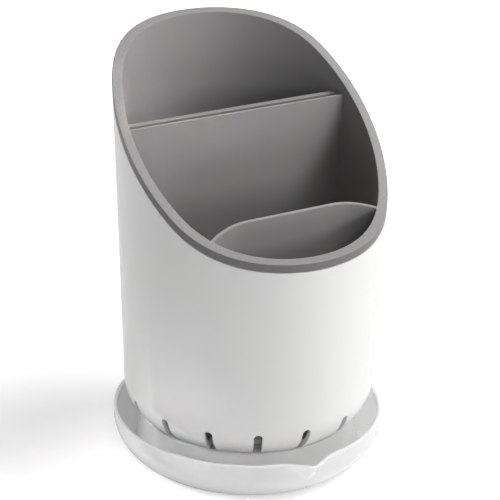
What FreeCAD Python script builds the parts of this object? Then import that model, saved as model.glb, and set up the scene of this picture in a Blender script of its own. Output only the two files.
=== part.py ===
import FreeCAD, Part
import math
import os
import Sketcher
from FreeCAD import Vector

# Cutlery stand: a grey liner with three pockets hangs in a white tapered sleeve,
# and the sleeve stands on the plinth of a white drip tray with a pouring lip.
# Frame: +Z up, origin on the ground under the axis, the low side of the rim faces -Y.

doc = FreeCAD.newDocument("cutlery_stand")

# Driving sizes in millimetres and degrees
SIZES = [
    # Nest of the pieces: the plinth stands out past the sleeve's foot, and the tray past the plinth
    ("sleeve_foot_radius", 50.3),
    ("plinth_margin", 1.3),
    ("moat_width", 13.4),
    ("tray_foot_inset", 11.7),
    ("plinth_radius", "=sleeve_foot_radius + plinth_margin"),
    ("tray_radius", "=plinth_radius + moat_width"),
    ("tray_foot_radius", "=tray_radius - tray_foot_inset"),
    # Drip tray
    ("tray_height", 21.5),
    ("tray_rim_rise", 3.3),
    ("tray_round", "=((tray_height - tray_rim_rise)^2 + tray_foot_inset^2) / (2 * tray_foot_inset)"),
    ("tray_wall", 1.8),
    ("tray_lip_round", 0.6),
    ("tray_foot_width", 2.3),
    ("plinth_height", 20.7),
    ("plinth_draft", 9.0),
    ("plinth_round", 1.2),
    ("moat_height", 4.6),
    ("spout_reach", 6.6),
    ("spout_tip_radius", 4.3),
    ("spout_angle", 33.0),
    ("spout_turn", 4.7),
    ("spout_root_rise", 1.4),
    ("spout_drop", "=tray_height - moat_height - spout_root_rise"),
    ("spout_root_gap", 0.22),
    ("spout_root_radius", 2.6),
    ("spout_blend", "=spout_drop / 4"),
    # Outer sleeve
    ("sleeve_foot_width", 3.0),
    ("sleeve_round", 20.0),
    ("sleeve_round_turn", 58.0),
    ("sleeve_draft", 1.82),
    ("sleeve_wall", 2.3),
    ("sleeve_floor", 2.2),
    ("locator_height", 2.0),
    ("locator_gap", 0.4),
    ("slot_turn", 3.7),
    ("slot_count", 16),
    ("slot_width", 4.0),
    ("slot_height", 13.6),
    # Scooped rim, an S curve from the low front to the high rear
    ("scoop_height", 158.5),
    ("scoop_angle", 40.2),
    ("scoop_bend", 78.0),
    ("scoop_front_run", 27.0),
    ("scoop_rear_run", 30.5),
    # Inner liner
    ("liner_gap", 0.6),
    ("liner_wall", 1.8),
    ("liner_bottom", 40.0),
    ("liner_floor", 2.0),
    ("liner_round", 4.0),
    ("rim_band", 3.9),
    ("rim_round", 0.4),
    ("seat_gap", 0.25),
    ("divider_wall", 1.4),
    ("divider_round", 0.4),
    ("divider_root", 0.6),
    ("strip_wall", 3.4),
    ("rear_wall_place", 13.6),
    ("rear_wall_top", 164.6),
    ("knife_slot", 3.0),
    ("front_wall_place", 32.1),
    ("front_wall_run", 22.0),
    ("front_wall_bend", 45.0),
    ("front_wall_turn", 52.0),
    ("drain_radius", 3.0),
    ("drain_pitch", 14.0),
    ("rear_drains", 5),
    ("middle_drains", 7),
    ("front_drains", 3),
    ("slit_length", 60.0),
    # Stock that the cuts run past
    ("cut_margin", 6.0),
]
sheet = doc.addObject("Spreadsheet::Sheet", "Sizes")
for row, (name, value) in enumerate(SIZES, start=1):
    sheet.set("A%d" % row, name)
    sheet.set("B%d" % row, str(value))
    sheet.setAlias("B%d" % row, name)
doc.recompute()


class Term:
    """A size worked out from the sheet: its value now and the expression behind it."""

    def __init__(self, value, text):
        self.value = float(value)
        self.text = text

    def __add__(self, other):
        other = term(other)
        return Term(self.value + other.value, "(%s + %s)" % (self.text, other.text))

    def __sub__(self, other):
        other = term(other)
        return Term(self.value - other.value, "(%s - %s)" % (self.text, other.text))

    def __mul__(self, other):
        other = term(other)
        return Term(self.value * other.value, "(%s * %s)" % (self.text, other.text))

    def __truediv__(self, other):
        other = term(other)
        return Term(self.value / other.value, "(%s / %s)" % (self.text, other.text))

    def __neg__(self):
        return Term(-self.value, "(0 - %s)" % self.text)


def term(thing):
    return thing if isinstance(thing, Term) else Term(thing, repr(thing))


def size(name):
    return Term(sheet.get(name), "Sizes." + name)


def sin(angle):
    return Term(math.sin(math.radians(angle.value)), "sin(%s)" % angle.text)


def cos(angle):
    return Term(math.cos(math.radians(angle.value)), "cos(%s)" % angle.text)


def tan(angle):
    return Term(math.tan(math.radians(angle.value)), "tan(%s)" % angle.text)


def root(square):
    return Term(math.sqrt(square.value), "sqrt(%s)" % square.text)


ZERO = term(0)
S = {name: size(name) for name, value in SIZES}


def place_point(sketch, geometry, position, x, y):
    """Fix a point of a sketch at x, y with constraints bound to the sheet."""
    for kind, axis, away in (("DistanceX", -2, x), ("DistanceY", -1, y)):
        if away is ZERO:
            sketch.addConstraint(Sketcher.Constraint("PointOnObject", geometry, position, axis))
        elif away.value < 0:
            far = -away
            at = sketch.addConstraint(
                Sketcher.Constraint(kind, geometry, position, -1, 1, far.value))
            sketch.setExpression("Constraints[%d]" % at, far.text)
        else:
            at = sketch.addConstraint(
                Sketcher.Constraint(kind, -1, 1, geometry, position, away.value))
            sketch.setExpression("Constraints[%d]" % at, away.text)


def draw(sketch, corners):
    """Close an outline through its corners. A corner is x and y, and for an arc to the next
    corner also the arc's radius and the side of its centre, 1 for left and -1 for right."""
    first = sketch.GeometryCount
    count = len(corners)
    points = [Vector(c[0].value, c[1].value, 0) for c in corners]
    heads = []
    tails = []
    for i, corner in enumerate(corners):
        start = points[i]
        end = points[(i + 1) % count]
        if len(corner) == 2:
            sketch.addGeometry(Part.LineSegment(start, end), False)
            heads.append(1)
            tails.append(2)
            continue
        radius = corner[2].value
        side = corner[3]
        half = (end - start) * 0.5
        left = Vector(-half.y, half.x, 0).normalize()
        rise = math.sqrt(radius * radius - half.Length * half.Length)
        centre = start + half + left * (rise * side)
        begin, finish = (start, end) if side > 0 else (end, start)
        sketch.addGeometry(Part.ArcOfCircle(
            Part.Circle(centre, Vector(0, 0, 1), radius),
            math.atan2(begin.y - centre.y, begin.x - centre.x),
            math.atan2(finish.y - centre.y, finish.x - centre.x)), False)
        heads.append(1 if side > 0 else 2)
        tails.append(2 if side > 0 else 1)
    for i, corner in enumerate(corners):
        before = (i - 1) % count
        sketch.addConstraint(Sketcher.Constraint(
            "Coincident", first + before, tails[before], first + i, heads[i]))
        place_point(sketch, first + i, heads[i], corner[0], corner[1])
        if len(corner) == 4:
            at = sketch.addConstraint(
                Sketcher.Constraint("Radius", first + i, corner[2].value))
            sketch.setExpression("Constraints[%d]" % at, corner[2].text)


def origin(body, role):
    return [f for f in body.Origin.OriginFeatures if f.Role == role][0]


def new_sketch(body, name, role, lift=None):
    sketch = body.newObject("Sketcher::SketchObject", name)
    sketch.AttachmentSupport = [(origin(body, role), "")]
    sketch.MapMode = "FlatFace"
    if lift is not None:
        sketch.setExpression("AttachmentOffset.Base.z", lift.text)
    return sketch


def revolve(body, name, corners, kind="Revolution"):
    sketch = new_sketch(body, name + "_profile", "XZ_Plane")
    draw(sketch, corners)
    feature = body.newObject("PartDesign::" + kind, name)
    feature.Profile = sketch
    feature.ReferenceAxis = (sketch, ["V_Axis"])
    feature.Angle = 360
    doc.recompute()
    return feature


def pocket(body, name, sketch, side="One side", flip=False, depth=None):
    before = body.Shape.Volume
    feature = body.newObject("PartDesign::Pocket", name)
    feature.Profile = sketch
    feature.SideType = side
    feature.Reversed = flip
    if depth is None:
        feature.Type = "ThroughAll"
    else:
        feature.Type = "Length"
        feature.setExpression("Length", depth.text)
    doc.recompute()
    if body.Shape.Volume > before - 1.0:
        raise RuntimeError(name + " cuts nothing")
    return feature


def edges_where(feature, test):
    return ["Edge%d" % (i + 1) for i, edge in enumerate(feature.Shape.Edges) if test(edge)]


def samples(edge, count=5):
    low, high = edge.ParameterRange
    return [edge.valueAt(low + (high - low) * k / (count - 1)) for k in range(count)]


def fillet(body, name, feature, test, radius):
    picked = edges_where(feature, test)
    if not picked:
        raise RuntimeError(name + " finds no edge")
    new = body.newObject("PartDesign::Fillet", name)
    new.Base = (feature, picked)
    new.setExpression("Radius", radius.text)
    doc.recompute()
    if new.Shape.isNull() or not new.Shape.isValid():
        raise RuntimeError("%s fails on %s" % (name, picked))
    return new


# Shared lines of the tapered wall
foot_low = S["plinth_height"]
round_x = S["sleeve_foot_radius"] - S["sleeve_round"] * cos(S["sleeve_round_turn"])
round_z = foot_low + S["sleeve_round"] * sin(S["sleeve_round_turn"])
taper = tan(S["sleeve_draft"])


def round_end(inset):
    """Point where the bottom round, taken inward by inset, runs into the tapered wall."""
    radius = S["sleeve_round"] - inset
    return round_x + radius * cos(S["sleeve_draft"]), round_z - radius * sin(S["sleeve_draft"])


def wall_at(z, inset):
    """Radius at height z of the tapered outside taken inward by inset."""
    x0, z0 = round_end(inset)
    return x0 + (z - z0) * taper


# The S curve of the rim in the plane x = 0
reach = S["scoop_bend"] * sin(S["scoop_angle"])
sweep = S["scoop_bend"] - S["scoop_bend"] * cos(S["scoop_angle"])
front_low = S["scoop_height"] - S["scoop_front_run"] * tan(S["scoop_angle"]) - sweep
rear_high = S["scoop_height"] + S["scoop_rear_run"] * tan(S["scoop_angle"]) + sweep
stock_top = rear_high + S["cut_margin"]
stock_low = front_low - S["rim_band"] - S["cut_margin"]


def scoop(drop, limit):
    """Outline between the S curve, lowered by drop, and the level limit."""
    slope = tan(S["scoop_angle"])
    front = -(S["scoop_front_run"] + reach)
    rear = S["scoop_rear_run"] + reach
    return [
        (front, front_low - drop, S["scoop_bend"], 1),
        (-S["scoop_front_run"], S["scoop_height"] - S["scoop_front_run"] * slope - drop),
        (S["scoop_rear_run"], S["scoop_height"] + S["scoop_rear_run"] * slope - drop,
         S["scoop_bend"], -1),
        (rear, rear_high - drop),
        (rear, limit),
        (front, limit),
    ]


def scoop_level(y):
    """Height of the S curve at y."""
    bend = S["scoop_bend"].value
    rear = S["scoop_rear_run"].value
    front = -S["scoop_front_run"].value
    slope = math.tan(math.radians(S["scoop_angle"].value))
    if y > rear:
        off = rear + reach.value - y
        return rear_high.value - bend + math.sqrt(bend * bend - off * off)
    if y < front:
        off = y - front + reach.value
        return front_low.value + bend - math.sqrt(bend * bend - off * off)
    return S["scoop_height"].value + y * slope


def on_scoop(edge, drop):
    """True for an edge along the S curve lowered by drop."""
    return all(abs(p.z - scoop_level(p.y) + drop.value) < 0.01 for p in samples(edge))


def on_wall(edge, inset):
    """True for an edge on the tapered outside taken inward by inset."""
    return all(abs(math.hypot(p.x, p.y) - wall_at(term(p.z), inset).value) < 0.01
               for p in samples(edge))


def trim(body, name, drop, limit):
    """Cut a body away between the lowered S curve and the level limit."""
    sketch = new_sketch(body, name + "_curve", "YZ_Plane")
    draw(sketch, scoop(drop, limit))
    return pocket(body, name, sketch, "Symmetric")


# Drip tray: bowl on a ring foot, raised hollow plinth, moat and pouring lip
tray = doc.addObject("PartDesign::Body", "drip_tray")
bowl_x = S["tray_radius"] - S["tray_round"]
foot_run = S["tray_foot_radius"] - bowl_x
bowl_z = root(S["tray_round"] * S["tray_round"] - foot_run * foot_run)
locator_radius = S["sleeve_foot_radius"] - S["sleeve_foot_width"] - S["locator_gap"]
hollow_top = S["plinth_height"] - S["tray_wall"]
hollow_foot = S["tray_foot_radius"] - S["tray_foot_width"]
draft = tan(S["plinth_draft"])
plinth_foot = S["plinth_radius"] + (S["plinth_height"] - S["moat_height"]) * draft
locator_top = S["plinth_height"] + S["locator_height"]
revolve(tray, "bowl", [
    (hollow_foot, ZERO),
    (S["tray_foot_radius"], ZERO, S["tray_round"], 1),
    (S["tray_radius"], bowl_z),
    (S["tray_radius"], S["tray_height"]),
    (plinth_foot, S["tray_height"]),
    (plinth_foot, S["plinth_height"]),
    (locator_radius, S["plinth_height"]),
    (locator_radius, locator_top),
    (ZERO, locator_top),
    (ZERO, hollow_top),
    (hollow_foot - hollow_top * draft, hollow_top),
])


def lip_outline(name, height, centre, radius, back):
    """Plan of the pouring lip: a tip about a centre on its axis, two flanks and a straight back."""
    turn = S["spout_turn"]
    angle = S["spout_angle"]
    tip_out = centre + radius * cos(angle)
    tip_side = radius * sin(angle)
    back_side = tip_side + (tip_out - back) / tan(angle)

    def spot(out, side):
        return side * cos(turn) - out * sin(turn), -(out * cos(turn) + side * sin(turn))

    sketch = new_sketch(tray, name, "XY_Plane", height)
    draw(sketch, [
        spot(back, -back_side),
        spot(tip_out, -tip_side) + (radius, 1),
        spot(tip_out, tip_side),
        spot(back, back_side),
    ])
    return sketch


def spout(name, kind, inset, rise):
    """Slanted wedge of the pouring lip, taken inward by inset and run on upward by rise."""
    low = S["tray_height"] - S["spout_drop"]
    bowl_inner = S["tray_round"] - S["tray_wall"]
    low_wall = bowl_x + root(bowl_inner * bowl_inner - (bowl_z - low) * (bowl_z - low))
    low_out = low_wall - (S["spout_root_radius"] - S["tray_wall"]) - S["spout_root_gap"]
    low_back = (plinth_foot + low_out) / 2
    top_out = S["tray_radius"] + S["spout_reach"] - S["spout_tip_radius"]
    top_back = (plinth_foot + S["tray_radius"]) / 2
    run = (S["spout_drop"] + rise) / S["spout_drop"]
    root_radius = S["spout_root_radius"] - inset
    tip_radius = root_radius + (S["spout_tip_radius"] - S["spout_root_radius"]) * run
    foot = lip_outline(name + "_root", low, low_out, root_radius, low_back)
    head = lip_outline(name + "_mouth", S["tray_height"] + rise,
                       low_out + (top_out - low_out) * run, tip_radius,
                       low_back + (top_back - low_back) * run)
    feature = tray.newObject("PartDesign::" + kind, name)
    feature.Profile = foot
    feature.Sections = [head]
    feature.Ruled = True
    doc.recompute()
    return feature


beak = spout("beak", "AdditiveLoft", ZERO, ZERO)


def on_flank(edge, radius):
    """Edges where the pouring lip leaves the wall of the bowl, which has the given radius."""
    places = samples(edge)
    radii = [math.hypot(p.x, p.y) for p in places]
    levels = [p.z for p in places]
    turns = [math.degrees(math.atan2(-p.x, -p.y)) - S["spout_turn"].value for p in places]
    near = max(abs(turn) for turn in turns) < 25
    outside = min(radii) > plinth_foot.value and max(radii) < radius.value + 0.01
    return near and outside and max(levels) - min(levels) > 0.5


fillet(tray, "beak_blend", beak, lambda edge: on_flank(edge, S["tray_radius"]), S["spout_blend"])


moat_x = bowl_x + root(
    (S["tray_round"] - S["tray_wall"]) * (S["tray_round"] - S["tray_wall"])
    - (bowl_z - S["moat_height"]) * (bowl_z - S["moat_height"]))
over = S["tray_height"] + S["cut_margin"]
moat = revolve(tray, "moat", [
    (plinth_foot, S["moat_height"]),
    (moat_x, S["moat_height"], S["tray_round"] - S["tray_wall"], 1),
    (S["tray_radius"] - S["tray_wall"], bowl_z),
    (S["tray_radius"] - S["tray_wall"], over),
    (S["plinth_radius"], over),
    (S["plinth_radius"], S["plinth_height"]),
], "Groove")
channel = spout("channel", "SubtractiveLoft", S["tray_wall"], S["cut_margin"])


def on_lip(edge):
    return all(abs(p.z - S["tray_height"].value) < 0.001 for p in samples(edge))


def on_plinth(edge):
    return all(abs(p.z - S["plinth_height"].value) < 0.001
               and abs(math.hypot(p.x, p.y) - S["plinth_radius"].value) < 0.001
               for p in samples(edge))


inner_radius = S["tray_radius"] - S["tray_wall"]
throat = fillet(tray, "channel_blend", channel, lambda edge: on_flank(edge, inner_radius),
                S["spout_blend"] + S["tray_wall"])
lip = fillet(tray, "lip_round", throat, on_lip, S["tray_lip_round"])
fillet(tray, "plinth_edge", lip, on_plinth, S["plinth_round"])

# Outer sleeve: tapered cup with a round, slotted bottom and the S-shaped top edge
sleeve = doc.addObject("PartDesign::Body", "outer_sleeve")
recess_top = locator_top + S["locator_gap"]
floor_top = recess_top + S["sleeve_floor"]
inner_round = S["sleeve_round"] - S["sleeve_wall"]
foot_inner = S["sleeve_foot_radius"] - S["sleeve_foot_width"]
outer_end = round_end(ZERO)
inner_end = round_end(S["sleeve_wall"])
inner_foot = round_x + root(inner_round * inner_round
                            - (round_z - floor_top) * (round_z - floor_top))
revolve(sleeve, "cup", [
    (foot_inner, foot_low),
    (S["sleeve_foot_radius"], foot_low, S["sleeve_round"], 1),
    outer_end,
    (wall_at(stock_top, ZERO), stock_top),
    (wall_at(stock_top, S["sleeve_wall"]), stock_top),
    inner_end + (inner_round, -1),
    (inner_foot, floor_top),
    (ZERO, floor_top),
    (ZERO, recess_top),
    (foot_inner, recess_top),
])
trim(sleeve, "top_edge", S["rim_band"] + S["seat_gap"], stock_top + S["cut_margin"])
slot_sketch = new_sketch(sleeve, "slot_outline", "XZ_Plane")
slot_start = foot_inner - S["locator_gap"]
half_slot = S["slot_width"] / 2
slot_high = foot_low + S["slot_height"]
draw(slot_sketch, [
    (-half_slot, foot_low - S["cut_margin"]),
    (half_slot, foot_low - S["cut_margin"]),
    (half_slot, slot_high - half_slot, half_slot, 1),
    (ZERO, slot_high, half_slot, 1),
    (-half_slot, slot_high - half_slot),
])
slot_sketch.AttachmentOffset = FreeCAD.Placement(
    Vector(0, 0, 0), FreeCAD.Rotation(Vector(0, 1, 0), -S["slot_turn"].value))
slot_sketch.setExpression("AttachmentOffset.Rotation.Angle", (-S["slot_turn"]).text)
slot_sketch.setExpression("AttachmentOffset.Base.x",
                          (-(slot_start * sin(S["slot_turn"]))).text)
slot_sketch.setExpression("AttachmentOffset.Base.z", (slot_start * cos(S["slot_turn"])).text)
slot = pocket(sleeve, "drain_slot", slot_sketch, flip=True)
slots = sleeve.newObject("PartDesign::PolarPattern", "drain_slots")
slots.Originals = [slot]
slots.Axis = (origin(sleeve, "Z_Axis"), [""])
slots.Angle = 360
slots.setExpression("Occurrences", S["slot_count"].text)
sleeve.Tip = slots
doc.recompute()

# Inner liner, first its cup: floor, dividers and tapered wall, trimmed by the S curve
liner_inset = S["sleeve_wall"] + S["liner_gap"]
rim_width = liner_inset + S["liner_wall"]
mid_wall = liner_inset + S["liner_wall"] / 2
liner_low = S["liner_bottom"]
liner_deck = S["liner_bottom"] + S["liner_floor"]
liner_cup = doc.addObject("PartDesign::Body", "liner_cup")
corner = S["liner_round"]
high_edge = wall_at(liner_low + corner, liner_inset)
revolve(liner_cup, "plug", [
    (ZERO, liner_low),
    (high_edge - corner, liner_low),
    (high_edge - corner, liner_deck),
    (wall_at(liner_deck, mid_wall), liner_deck),
    (wall_at(stock_top, mid_wall), stock_top),
    (ZERO, stock_top),
])
clear = S["tray_radius"] + S["cut_margin"]
panel_front = S["rear_wall_place"]
panel_rear = panel_front + S["divider_wall"]
strip_front = panel_rear + S["knife_slot"]
strip_rear = strip_front + S["strip_wall"]
bend_y = -(S["front_wall_place"] + S["front_wall_bend"])


def bend_point(radius, side):
    """End of the curved part of the front divider, past the liner's wall."""
    x = S["front_wall_run"] + radius * sin(S["front_wall_turn"])
    return (x if side > 0 else -x), bend_y + radius * cos(S["front_wall_turn"])


rear_bend = S["front_wall_bend"]
front_bend = S["front_wall_bend"] - S["divider_wall"]
wall_front = -(S["front_wall_place"] + S["divider_wall"])
rear_right = bend_point(rear_bend, 1)
rear_left = bend_point(rear_bend, -1)
front_right = bend_point(front_bend, 1)
front_left = bend_point(front_bend, -1)
rooms = {
    "rear_pocket": [
        (-clear, strip_rear), (clear, strip_rear), (clear, clear), (-clear, clear)],
    "knife_gap": [
        (-clear, panel_rear), (clear, panel_rear), (clear, strip_front), (-clear, strip_front)],
    "middle_pocket": [
        (-clear, panel_front),
        (-clear, rear_left[1]),
        rear_left + (rear_bend, -1),
        (-S["front_wall_run"], -S["front_wall_place"]),
        (S["front_wall_run"], -S["front_wall_place"], rear_bend, -1),
        rear_right,
        (clear, rear_right[1]),
        (clear, panel_front)],
    "front_pocket": [
        (-clear, -clear),
        (clear, -clear),
        (clear, front_right[1]),
        front_right + (front_bend, 1),
        (S["front_wall_run"], wall_front),
        (-S["front_wall_run"], wall_front, front_bend, 1),
        front_left,
        (-clear, front_left[1])],
}
for name, outline in rooms.items():
    plan = new_sketch(liner_cup, name + "_plan", "XY_Plane", liner_deck)
    draw(plan, outline)
    pocket(liner_cup, name, plan, flip=True)
level = new_sketch(liner_cup, "rear_wall_level", "YZ_Plane")
draw(level, [
    (panel_front - S["divider_wall"], S["rear_wall_top"]),
    (strip_rear + S["divider_wall"], S["rear_wall_top"]),
    (strip_rear + S["divider_wall"], stock_top + S["cut_margin"]),
    (panel_front - S["divider_wall"], stock_top + S["cut_margin"]),
])
pocket(liner_cup, "rear_wall_trim", level, "Symmetric")
revolve(liner_cup, "wall", [
    (high_edge - corner - S["liner_wall"], liner_low),
    (high_edge - corner, liner_low, corner, 1),
    (high_edge, liner_low + corner),
    (wall_at(stock_top, liner_inset), stock_top),
    (wall_at(stock_top, rim_width), stock_top),
    (wall_at(liner_deck, rim_width), liner_deck),
    (high_edge - corner - S["liner_wall"], liner_deck),
])
trim(liner_cup, "cup_edge", ZERO, stock_top + S["cut_margin"])
deck_inner = wall_at(liner_deck, rim_width)
rows = {
    "rear_row": ((strip_rear + deck_inner) / 2, "rear_drains"),
    "mid_row": (panel_front - (panel_front + S["front_wall_place"]) / 4, "middle_drains"),
    "fore_row": (panel_front - (panel_front + S["front_wall_place"]) * 3 / 4, "middle_drains"),
    "front_row": (-(S["front_wall_place"] + S["divider_wall"] + deck_inner) / 2, "front_drains"),
}
for name, (y, count) in rows.items():
    span = S["drain_pitch"] * (S[count] - 1)
    plan = new_sketch(liner_cup, name + "_plan", "XY_Plane", liner_deck)
    x = -(span / 2)
    plan.addGeometry(Part.Circle(
        Vector(x.value, y.value, 0), Vector(0, 0, 1), S["drain_radius"].value), False)
    place_point(plan, 0, 3, x, y)
    at = plan.addConstraint(Sketcher.Constraint("Radius", 0, S["drain_radius"].value))
    plan.setExpression("Constraints[%d]" % at, S["drain_radius"].text)
    hole = pocket(liner_cup, name + "_hole", plan)
    row = liner_cup.newObject("PartDesign::LinearPattern", name)
    row.Originals = [hole]
    row.Direction = (origin(liner_cup, "X_Axis"), [""])
    row.setExpression("Length", span.text)
    row.setExpression("Occurrences", S[count].text)
    liner_cup.Tip = row
    doc.recompute()
slit = new_sketch(liner_cup, "slit_plan", "XY_Plane", liner_deck)
half_slit = S["slit_length"] / 2
draw(slit, [
    (-half_slit, panel_rear), (half_slit, panel_rear),
    (half_slit, strip_front), (-half_slit, strip_front)])
pocket(liner_cup, "slit", slit)

# The liner's rim: a band over the sleeve's edge, flush with its outside, along the S curve
liner_rim = doc.addObject("PartDesign::Body", "liner_rim")
revolve(liner_rim, "band", [
    (wall_at(stock_low, mid_wall), stock_low),
    (wall_at(stock_low, ZERO), stock_low),
    (wall_at(stock_top, ZERO), stock_top),
    (wall_at(stock_top, mid_wall), stock_top),
])
trim(liner_rim, "band_top", ZERO, stock_top + S["cut_margin"])
band = trim(liner_rim, "band_underside", S["rim_band"], stock_low - S["cut_margin"])


liner_shell = doc.addObject("Part::Fuse", "liner_shell")
liner_shell.Base = liner_cup
liner_shell.Tool = liner_rim
liner_shell.Refine = True
doc.recompute()


def inside_wall(edge):
    return all(math.hypot(p.x, p.y) < wall_at(term(p.z), rim_width).value + 0.01
               for p in samples(edge))


def edge_round(edge):
    """Radius that the liner's edge gets, or None for an edge that stays as it is."""
    places = samples(edge)
    levels = [p.z for p in places]
    if on_wall(edge, ZERO) and (on_scoop(edge, ZERO) or on_scoop(edge, S["rim_band"])):
        return S["rim_round"].value
    if on_scoop(edge, ZERO) and inside_wall(edge):
        return S["divider_round"].value
    if max(abs(z - S["rear_wall_top"].value) for z in levels) < 0.01:
        long_edge = edge.Length > S["plinth_radius"].value
        return S["divider_round"].value if long_edge else None
    tall = max(levels) - min(levels) > S["rear_wall_place"].value
    fore = max(p.y for p in places) < -0.5 * S["front_wall_place"].value
    if tall and fore and on_wall(edge, rim_width):
        return S["divider_root"].value
    return None


rounds = [(i + 1, edge_round(edge)) for i, edge in enumerate(liner_shell.Shape.Edges)]
liner = doc.addObject("Part::Fillet", "inner_liner")
liner.Base = liner_shell
liner.Edges = [(i, radius, radius) for i, radius in rounds if radius]
doc.recompute()

PIECES = {"drip_tray": tray, "outer_sleeve": sleeve, "inner_liner": liner}
for label, piece in PIECES.items():
    piece.Label = label
doc.recompute()

# Every object is sound before anything is written
for thing in doc.Objects:
    if "Invalid" in thing.State or "Error" in thing.State:
        raise RuntimeError("%s: %s" % (thing.Name, thing.State))
for label, piece in PIECES.items():
    shape = piece.Shape
    if shape.isNull() or not shape.isValid() or len(shape.Solids) != 1:
        raise RuntimeError("%s is not one sound solid" % label)
    print(label, "volume %.1f" % shape.Volume, shape.BoundBox)

os.makedirs("parts", exist_ok=True)
for label, piece in PIECES.items():
    piece.Shape.exportStep("parts/%s.step" % label)
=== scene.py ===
import math

import bmesh
import bpy
from mathutils import Matrix, Vector


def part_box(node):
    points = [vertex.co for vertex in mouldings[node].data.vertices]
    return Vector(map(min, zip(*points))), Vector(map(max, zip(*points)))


# Cutlery stand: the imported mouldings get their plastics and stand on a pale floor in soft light.

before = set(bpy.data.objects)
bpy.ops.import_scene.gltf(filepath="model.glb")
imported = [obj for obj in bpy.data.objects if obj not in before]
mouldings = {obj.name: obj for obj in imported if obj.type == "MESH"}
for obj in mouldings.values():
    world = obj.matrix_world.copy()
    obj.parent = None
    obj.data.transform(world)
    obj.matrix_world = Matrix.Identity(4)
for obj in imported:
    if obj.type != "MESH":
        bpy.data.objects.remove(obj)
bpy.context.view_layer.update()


# Shader arithmetic

# Sockets of a Mix node that mixes colours
MIX_SHARE = 0
MIX_FIRST = 6
MIX_SECOND = 7
MIX_RESULT = 2


class Wire:
    """The output of a node. Arithmetic on it adds Math nodes."""

    def __init__(self, plastic, socket):
        self.plastic = plastic
        self.socket = socket

    def __add__(self, other):
        return self.plastic.sum("ADD", self, other)

    def __sub__(self, other):
        return self.plastic.sum("SUBTRACT", self, other)

    def __rsub__(self, other):
        return self.plastic.sum("SUBTRACT", other, self)

    def __mul__(self, other):
        return self.plastic.sum("MULTIPLY", self, other)

    __radd__ = __add__
    __rmul__ = __mul__


class Plastic:
    """A node material with a Principled shader at its end."""

    def __init__(self, name):
        self.material = bpy.data.materials.new(name)
        self.material.use_nodes = True
        self.tree = self.material.node_tree
        self.tree.nodes.clear()
        self.shader = self.tree.nodes.new("ShaderNodeBsdfPrincipled")
        end = self.tree.nodes.new("ShaderNodeOutputMaterial")
        self.tree.links.new(self.shader.outputs[0], end.inputs["Surface"])

    def plug(self, socket, value):
        if isinstance(value, Wire):
            self.tree.links.new(value.socket, socket)
        else:
            socket.default_value = value

    def node(self, kind, settings, values, output=0):
        """Any node by its type, its settings, and the values or links of its sockets."""
        made = self.tree.nodes.new("ShaderNode" + kind)
        for key, value in settings.items():
            setattr(made, key, value)
        for key, value in values.items():
            self.plug(made.inputs[key], value)
        return Wire(self, made.outputs[output])

    def sum(self, operation, first, second):
        return self.node("Math", {"operation": operation}, {0: first, 1: second})

    def finish(self, **values):
        """Set or link the shader's sockets, named in small letters with underscores."""
        for key, value in values.items():
            socket = key.replace("_", " ").title().replace("Ior", "IOR")
            self.plug(self.shader.inputs[socket], value)
        return self.material

    def place(self, stretch=(1, 1, 1)):
        """Where a point is on the moulding, in metres, stretched for a pattern with a direction."""
        at = self.node("TexCoord", {}, {}, "Object")
        return self.node("Mapping", {}, {"Vector": at, "Scale": stretch})

    def distance(self, stretch=(1, 1, 1)):
        """How far a point is from the origin, in metres. A direction stretched to 0 doesn't count."""
        return self.node("VectorMath", {"operation": "LENGTH"}, {0: self.place(stretch)}, "Value")

    def ray(self, kind):
        """1 for light paths of one kind, such as Camera or Glossy, and 0 for others."""
        return self.node("LightPath", {}, {}, "Is %s Ray" % kind)

    def mottle(self, at, scale, detail=2.0, rough=0.5):
        return self.node("TexNoise", {}, {
            "Vector": at, "Scale": scale, "Detail": detail, "Roughness": rough})

    def tint(self, share, first, second):
        """The first colour where the share is 0, the second where it is 1."""
        return self.node("Mix", {"data_type": "RGBA"}, {
            MIX_SHARE: share, MIX_FIRST: first, MIX_SECOND: second}, MIX_RESULT)

    def band(self, value, low, high):
        """0 below low, 1 above high, smooth between."""
        return self.node("MapRange", {"interpolation_type": "SMOOTHSTEP"}, {
            "Value": value, "From Min": low, "From Max": high})

    def split(self, vector, axis):
        return self.node("SeparateXYZ", {}, {0: vector}, axis)

    def relief(self, height, depth, strength, under=None):
        """A bump of that depth in metres, over another one if given."""
        values = {"Height": height, "Distance": depth, "Strength": strength}
        if under:
            values["Normal"] = under
        return self.node("Bump", {}, values)


# Plastics

# The walls widen upward by their draft. A point's radius, less that widening, is the same all the way up
# a wall, and the rim band is where it comes this close to its greatest value.
WALL_SLOPE = math.tan(math.radians(1.82))
liner_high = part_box("inner_liner")[1]
RIM_SPREAD = liner_high.y - liner_high.z * WALL_SLOPE
RIM_DEPTH = 0.0012
RIM_SOLID_DEPTH = 0.0006

# Share of each plastic's shade in red, green and blue
WARM_WHITE = (0.985, 0.98, 0.97)
PALE_WHITE = (1.0, 0.998, 0.992)
DEEP_GREY = (0.9, 0.885, 0.875)
PALE_GREY = (1.1, 1.08, 1.07)
# Painted shade: the darker colour of the rim's outer band
SKIRT_PAINTED_SHADE_GREY = (0.62, 0.61, 0.6)

# How far light wanders inside the white plastic, in metres
GLOW_REACH = 0.008


def toned(shade, colour):
    return tuple(part * shade for part in colour) + (1,)


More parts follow.
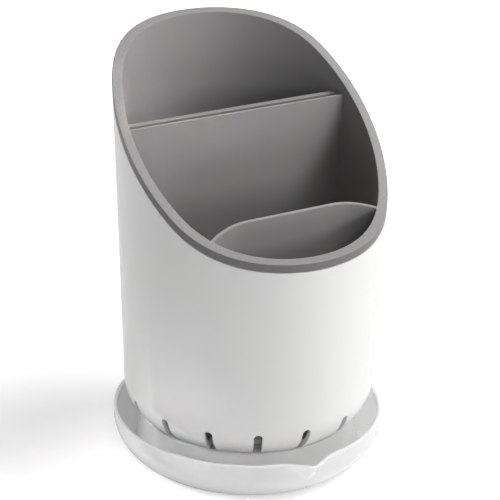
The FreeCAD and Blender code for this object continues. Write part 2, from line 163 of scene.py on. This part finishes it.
def gloss_white(name, shade, through):
    """Glossy white moulding: faint flow marks, a trace of peel in the polish, fine rubbing."""
    p = Plastic(name)
    flow = p.mottle(p.place((1, 1, 0.18)), scale=46.0, detail=3.0, rough=0.55)
    cloud = p.mottle(p.place(), scale=17.0)
    peel = p.mottle(p.place(), scale=210.0, detail=1.0)
    rub = p.mottle(p.place((1, 1, 6)), scale=330.0, detail=3.0, rough=0.6)
    rubbed = p.band(rub, 0.56, 0.72) * p.band(cloud, 0.42, 0.6)
    share = flow * 0.6 + cloud * 0.4
    return p.finish(
        base_color=p.tint(share, toned(shade, WARM_WHITE), toned(shade, PALE_WHITE)),
        roughness=0.19 + cloud * 0.05 + rubbed * 0.07,
        specular_ior_level=0.26,
        subsurface_weight=through,
        subsurface_radius=(1.0, 1.0, 1.0),
        subsurface_scale=GLOW_REACH,
        normal=p.relief(peel, depth=0.00012, strength=0.05))


def satin_grey(name, shade):
    """Satin grey moulding: drawn walls, spark grain on the faces that look up, a glossier outer rim band
    painted darker as shade.
    """
    p = Plastic(name)
    grain = p.mottle(p.place(), scale=2300.0, rough=0.6)
    speckle = p.mottle(p.place(), scale=1250.0, detail=3.0, rough=0.7)
    cloud = p.mottle(p.place(), scale=22.0, detail=3.0, rough=0.55)
    streak = p.mottle(p.place((1, 1, 0.06)), scale=190.0, detail=3.0, rough=0.6)
    upward = p.band(p.split(p.node("TexCoord", {}, {}, "Normal"), "Z"), 0.3, 0.55)
    spread = p.distance((1, 1, 0)) - p.split(p.place(), "Z") * WALL_SLOPE
    outermost = p.band(spread, RIM_SPREAD - RIM_DEPTH, RIM_SPREAD - RIM_SOLID_DEPTH)
    # The rim's outer band: lower roughness for its gloss, and a darker colour that is painted shade
    skirt_gloss_and_painted_shade = outermost * (1 - upward)
    walls = cloud * 0.5 + streak * 0.3 + grain * 0.2
    share = walls + upward * (p.band(speckle, 0.3, 0.7) - walls)
    plain = p.tint(share, toned(shade, DEEP_GREY), toned(shade, PALE_GREY))
    fine = p.relief(grain, depth=0.00008, strength=0.14)
    return p.finish(
        base_color=p.tint(skirt_gloss_and_painted_shade, plain, toned(shade, SKIRT_PAINTED_SHADE_GREY)),
        roughness=0.36 + cloud * 0.06 + grain * 0.05 + upward * 0.07 - skirt_gloss_and_painted_shade * 0.1,
        specular_ior_level=0.28,
        normal=p.relief(speckle * upward, depth=0.00014, strength=0.3, under=fine))


def dress(node, material):
    mesh = mouldings[node].data
    mesh.materials.clear()
    mesh.materials.append(material)


# The tray's shade is set above plain white plastic as painted light, for the floor bounce its moat and low
# walls lack
dress("drip_tray", gloss_white("tray_white", shade=0.95, through=0.9))
dress("outer_sleeve", gloss_white("sleeve_white", shade=0.91, through=0.25))
dress("inner_liner", satin_grey("liner_grey", shade=0.295))


# Stage: pale floor, soft boxes, white surround

FLOOR_RADIUS = 4.0
FLOOR_SIDES = 96
FLOOR_WHITE = (0.94, 0.94, 0.94, 1)
BLACK = (0, 0, 0, 1)
WHITE = (1, 1, 1, 1)

# Share of white that the floor adds for the eye: under the object, in mirrored light, and farther off.
# The lamps fade with distance, so the floor adds the whole of it towards the horizon.
LIFT_NEAR = 0.36
LIFT_MIRRORED = 0.15
LIFT_FAR = 0.75
LIFT_REACH = (0.08, 0.32)
LIFT_HORIZON = (0.35, 1.6)

# Turn from the front and height in degrees, width and height in metres, watts
SOFT_BOXES = {
    "key_right": (56, 27, (0.5, 0.7), 2.0),
    "key_low": (18, 11, (0.4, 0.4), 3.4),
    "top_right": (62, 58, (0.6, 0.8), 10.6),
    "top_back": (-180, 62, (0.6, 0.6), 2.2),
    "back_left": (-150, 22, (0.5, 0.6), 2.2),
    "left_low": (-108, 8, (0.4, 0.4), 2.6),
    "fill": (-16, 34, (0.5, 0.6), 0.9),
}
# The same, then the point aimed at and the spread in degrees. These reach into the tray's moat and the
# rear pocket, which the others hardly light.
NARROW_BOXES = {
    "tray_left": (-64, 46, (0.07, 0.07), 0.014, Vector((-0.07, -0.02, -0.004)), 6),
    "liner_left": (59, 24, (0.05, 0.05), 0.006, Vector((-0.045, 0.02, 0.17)), 4),
}
LAMP_DISTANCE = 1.2
LAMP_AIM = Vector((0, 0, 0.1))
FULL_SPREAD = 180

# Strength of the surround in the light that falls on dull surfaces. It is white to the eye and in gloss.
SURROUND_LEVEL = 0.03

CAMERA_PLACE = Vector((-0.4046, -0.66405, 0.42814))
CAMERA_AIM = Vector((-0.0004, 0.00024, 0.10063))
CAMERA_LENS = 129.6
CAMERA_SENSOR = 36.0
CAMERA_ROLL = math.radians(1.288)
CAMERA_NEAREST = 0.01
CAMERA_FARTHEST = 20.0


def pale_floor():
    shape = bmesh.new()
    bmesh.ops.create_circle(shape, cap_ends=True, segments=FLOOR_SIDES, radius=FLOOR_RADIUS)
    mesh = bpy.data.meshes.new("pale_floor")
    shape.to_mesh(mesh)
    shape.free()
    floor = bpy.data.objects.new("pale_floor", mesh)
    bpy.context.scene.collection.objects.link(floor)
    p = Plastic("pale_floor")
    mirrored = p.ray("Glossy") + p.ray("Transmission")
    away = p.distance()
    seen = LIFT_NEAR + p.band(away, *LIFT_REACH) * (LIFT_FAR - LIFT_NEAR)
    seen = seen + p.band(away, *LIFT_HORIZON) * (1 - LIFT_FAR)
    lift = p.ray("Camera") * seen + mirrored * LIFT_MIRRORED
    p.finish(
        base_color=FLOOR_WHITE,
        roughness=0.9,
        specular_ior_level=0.0,
        emission_color=p.tint(lift, BLACK, WHITE),
        emission_strength=1.0)
    mesh.materials.append(p.material)


def soft_box(name, turn, rise, span, watts, aim=LAMP_AIM, spread=FULL_SPREAD):
    lamp = bpy.data.lights.new(name, "AREA")
    lamp.shape = "RECTANGLE"
    lamp.size, lamp.size_y = span
    lamp.energy = watts
    lamp.spread = math.radians(spread)
    lit = bpy.data.objects.new(name, lamp)
    turned = math.radians(turn)
    raised = math.radians(rise)
    level = math.cos(raised)
    away = Vector((math.sin(turned) * level, -math.cos(turned) * level, math.sin(raised)))
    lit.location = aim + away * LAMP_DISTANCE
    lit.rotation_euler = (-away).to_track_quat("-Z", "Y").to_euler()
    bpy.context.scene.collection.objects.link(lit)


def surround():
    world = bpy.data.worlds.new("surround")
    world.use_nodes = True
    tree = world.node_tree
    back = tree.nodes["Background"]
    rays = tree.nodes.new("ShaderNodeLightPath")
    strength = tree.nodes.new("ShaderNodeMapRange")
    strength.inputs["To Min"].default_value = 1.0
    strength.inputs["To Max"].default_value = SURROUND_LEVEL
    tree.links.new(rays.outputs["Is Diffuse Ray"], strength.inputs["Value"])
    back.inputs["Color"].default_value = WHITE
    tree.links.new(strength.outputs[0], back.inputs["Strength"])
    bpy.context.scene.world = world


def camera():
    view = bpy.data.cameras.new("camera")
    view.lens = CAMERA_LENS
    view.sensor_width = CAMERA_SENSOR
    view.clip_start = CAMERA_NEAREST
    view.clip_end = CAMERA_FARTHEST
    eye = bpy.data.objects.new("camera", view)
    turn = (CAMERA_AIM - CAMERA_PLACE).to_track_quat("-Z", "Y").to_matrix()
    rolled = turn @ Matrix.Rotation(CAMERA_ROLL, 3, "Z")
    eye.matrix_world = Matrix.Translation(CAMERA_PLACE) @ rolled.to_4x4()
    bpy.context.scene.collection.objects.link(eye)
    bpy.context.scene.camera = eye


pale_floor()
for boxes in (SOFT_BOXES, NARROW_BOXES):
    for name, facts in boxes.items():
        soft_box(name, *facts)
surround()
camera()
bpy.context.scene.view_settings.view_transform = "Standard"
